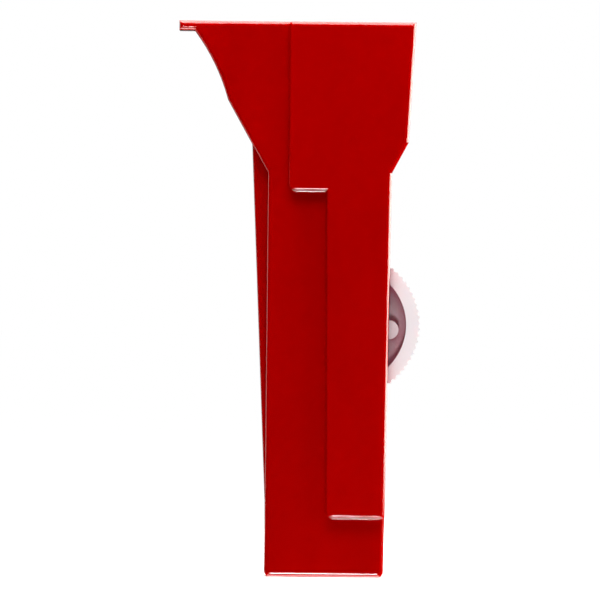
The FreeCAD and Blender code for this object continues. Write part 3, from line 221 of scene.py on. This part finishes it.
def paint(piece, slot_name):
    piece.data.materials.clear()
    piece.data.materials.append(MATERIALS[slot_name])


for row in frame["record"]["subparts"]:
    paint(NODES[row["node"]], row["material_slot"])


# ---------------------------------------------------------------- springs

def wire(name, points, thickness, sides=8):
    """A round wire along points, with a turned ring of faces at each of them."""
    mesh = bpy.data.meshes.new(name)
    shape = bmesh.new()
    rings = []
    across = None
    for number, point in enumerate(points):
        before = points[max(0, number - 1)]
        after = points[min(len(points) - 1, number + 1)]
        along = (after - before).normalized()
        if across is None:
            across = along.orthogonal().normalized()
        across = (across - along * across.dot(along)).normalized()
        up = along.cross(across)
        rings.append([shape.verts.new(point + (across * math.cos(turn) + up * math.sin(turn))
                                      * thickness / 2)
                      for turn in (2 * math.pi * k / sides for k in range(sides))])
    for ring, following in zip(rings, rings[1:]):
        for k in range(sides):
            face = shape.faces.new((ring[k], ring[(k + 1) % sides],
                                    following[(k + 1) % sides], following[k]))
            face.smooth = True
    shape.faces.new(rings[0][::-1])
    shape.faces.new(rings[-1])
    bmesh.ops.recalc_face_normals(shape, faces=shape.faces)
    shape.to_mesh(mesh)
    shape.free()
    piece = bpy.data.objects.new(name, mesh)
    bpy.context.scene.collection.objects.link(piece)
    return piece


def helix(centre, radius, low, high, turns, thickness, start=0.0, dead=1.0):
    """Points of a coil round the Y axis, whose end turns lie flat as on a compression spring."""
    points = []
    steps = int(turns * 28)
    flat = dead * thickness * 1.02
    for step in range(steps + 1):
        turn = turns * step / steps
        if turn < dead:
            rise = flat * turn / dead if dead else 0.0
        elif turn > turns - dead:
            rise = high - low - flat * (turns - turn) / dead
        else:
            rise = flat + (high - low - 2 * flat) * (turn - dead) / (turns - 2 * dead)
        angle = start + 2 * math.pi * turn
        points.append(Vector((centre.x + radius * math.cos(angle), low + rise,
                              centre.z + radius * math.sin(angle))))
    return points


def compression_spring(node, thickness, turns, body):
    """A coil in place of the node's plain tube."""
    low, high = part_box(node)
    centre = (low + high) / 2
    radius = (high.x - low.x - thickness) / 2
    coil = wire(node + "_coil", helix(centre, radius, low.y + thickness / 2,
                                      high.y - thickness / 2, turns, thickness), thickness)
    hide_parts(node)
    finish_piece(coil, body)


def finish_piece(piece, body):
    paint(piece, "spring_steel")
    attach(piece, body)


def torsion_spring(node, thickness, body):
    """A close-wound coil round the trigger's pin, with one leg up the housing and one back."""
    low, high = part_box(node)
    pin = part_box("trigger_pin")
    centre = (pin[0] + pin[1]) / 2
    radius = centre.x - low.x - thickness / 2
    first = low.y + thickness / 2
    last = high.y - thickness / 2
    turns = (last - first) / (thickness * 1.04)
    whole = math.floor(turns - 0.25) + 0.25
    coil = helix(centre, radius, first, last, whole, thickness, math.pi, 0.0)
    leg_up = [Vector((coil[0].x, coil[0].y, high.z - step * (high.z - coil[0].z) / 6))
              for step in range(6)]
    end = coil[-1]
    leg_back = [Vector((end.x + step * (high.x - end.x) / 6, end.y, end.z))
                for step in range(1, 7)]
    spring = wire(node + "_coil", leg_up + coil + leg_back, thickness)
    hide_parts(node)
    finish_piece(spring, body)


def leaf_spring(node, gauge):
    """The brake's leaf spring: a riveted foot, and a bowed leaf as deep as the brake lever."""
    low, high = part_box(node)
    front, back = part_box("brake_lever")[0].y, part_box("brake_lever")[1].y
    root = Vector((low.x + 0.9 * MM, 0, low.z + 0.9 * MM))
    tip = Vector((high.x - gauge / 2, 0, high.z - 0.25 * MM))
    along = (tip - root).normalized()
    outward = Vector((-along.z, 0, along.x))
    mesh = bpy.data.meshes.new(node + "_leaf")
    shape = bmesh.new()
    rings = []
    for step in range(25):
        share = step / 24
        middle = root.lerp(tip, share) + outward * 0.35 * MM * math.sin(math.pi * share)
        rings.append([shape.verts.new((middle.x + side * outward.x * gauge / 2, depth,
                                       middle.z + side * outward.z * gauge / 2))
                      for side, depth in ((-1, front), (1, front), (1, back), (-1, back))])
    for ring, following in zip(rings, rings[1:]):
        for k in range(4):
            shape.faces.new((ring[k], ring[(k + 1) % 4], following[(k + 1) % 4], following[k]))
    shape.faces.new(rings[0][::-1])
    shape.faces.new(rings[-1])
    bmesh.ops.recalc_face_normals(shape, faces=shape.faces)
    shape.to_mesh(mesh)
    shape.free()
    leaf = bpy.data.objects.new(node + "_leaf", mesh)
    bpy.context.scene.collection.objects.link(leaf)
    rivet = wire(node + "_rivet", [Vector((root.x, low.y, root.z)),
                                   Vector((root.x, (low.y + high.y) / 2, root.z)),
                                   Vector((root.x, high.y, root.z))], 1.8 * MM, sides=24)
    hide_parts(node)
    for piece in (leaf, rivet):
        paint(piece, "spring_steel")
    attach(rivet, "housing")
    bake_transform(leaf)


compression_spring("supply_drag_spring", 0.7 * MM, 4.5, "housing")
compression_spring("clutch_spring", 0.65 * MM, 4.5, "housing")
torsion_spring("trigger_spring", 0.7 * MM, "housing")
leaf_spring("brake_spring", 0.35 * MM)

# ---------------------------------------------------------------- stage, light and camera

def flat_sheet(name, half, level):
    """A large square sheet at a height, which stays still when the object moves."""
    mesh = bpy.data.meshes.new(name)
    shape = bmesh.new()
    bmesh.ops.create_grid(shape, x_segments=8, y_segments=8, size=half,
                          matrix=Matrix.Translation((0, 0, level)))
    shape.to_mesh(mesh)
    sheet = bpy.data.objects.new(name, mesh)
    bpy.context.scene.collection.objects.link(sheet)
    return sheet


floor = flat_sheet("floor", 30.0, 0.0)
floor.visible_glossy = False
floor.visible_diffuse = False
floor.visible_shadow = False
paper, tree, shader, place = new_material("floor_paper")
shader.inputs["Base Color"].default_value = (0.92, 0.92, 0.92, 1)
shader.inputs["Roughness"].default_value = 0.9
shader.inputs["Specular IOR Level"].default_value = 0.0
away = tree.nodes.new("ShaderNodeVectorMath")
away.operation = "LENGTH"
link(tree, place, away.inputs[0])
link(tree, spread(tree, away.outputs["Value"], 0.0, 1.0, 0.12, 0.5),
     shader.inputs["Emission Strength"])
shader.inputs["Emission Color"].default_value = (1, 1, 1, 1)
floor.data.materials.append(paper)

# The middle of the object's near side, which the panels face.
CENTRE = Vector((-0.009, -0.015, 0.099))


def area_light(name, way, distance, width, height, power, colour=(1, 1, 1)):
    """A soft panel that faces the object from a direction."""
    data = bpy.data.lights.new(name, "AREA")
    data.shape = "RECTANGLE"
    data.size = width
    data.size_y = height
    data.energy = power
    data.color = colour
    lamp = bpy.data.objects.new(name, data)
    way = Vector(way).normalized()
    lamp.location = CENTRE + way * distance
    lamp.rotation_euler = (-way).to_track_quat("-Z", "Y").to_euler()
    lamp.visible_camera = False
    bpy.context.scene.collection.objects.link(lamp)
    return lamp


# Way from the object, distance, width, height and power of each panel.
area_light("top_panel", (0.0, 0.15, 1.0), 0.9, 0.9, 0.7, 20, (1.0, 0.96, 0.9))
area_light("right_panel", (1.0, 0.25, 0.1), 0.9, 1.3, 0.35, 18, (1.0, 0.95, 0.86))
area_light("left_panel", (-1.0, 0.5, -0.2), 0.9, 0.5, 0.8, 2, (1.0, 0.96, 0.9))
area_light("table_strip", (0.0, -0.82, -0.57), 0.9, 0.08, 0.22, 3.9)
area_light("front_panel", (0.0, -0.45, 0.9), 0.9, 0.8, 0.3, 8.2)
area_light("under_panel", (0.0, 0.15, -1.0), 0.9, 0.8, 0.7, 14, (1.0, 0.96, 0.9))
area_light("back_panel", (0.2, 1.0, 0.6), 1.1, 0.9, 0.6, 5)

# White behind the object, which only the camera sees, so that it puts no haze on the plastic.
world = bpy.data.worlds.new("studio")
bpy.context.scene.world = world
world.use_nodes = True
world.node_tree.nodes["Background"].inputs["Color"].default_value = (1, 1, 1, 1)
world.node_tree.nodes["Background"].inputs["Strength"].default_value = 1.0
world.cycles_visibility.glossy = False
world.cycles_visibility.diffuse = False
world.cycles_visibility.transmission = False
world.cycles_visibility.scatter = False

# A very long lens, as the object is seen almost without perspective.
camera_data = bpy.data.cameras.new("camera")
camera_data.lens = 800
camera_data.sensor_width = 36
camera_data.clip_end = 100
camera = bpy.data.objects.new("camera", camera_data)
camera.location = (-0.0091, -4.8, 0.0994)
CAMERA_ROLL = math.radians(0.6)
camera.rotation_euler = (Matrix.Rotation(math.pi / 2, 3, "X")
                         @ Matrix.Rotation(CAMERA_ROLL, 3, "Z")).to_euler()
bpy.context.scene.collection.objects.link(camera)
bpy.context.scene.camera = camera
bpy.context.scene.view_settings.view_transform = "Standard"
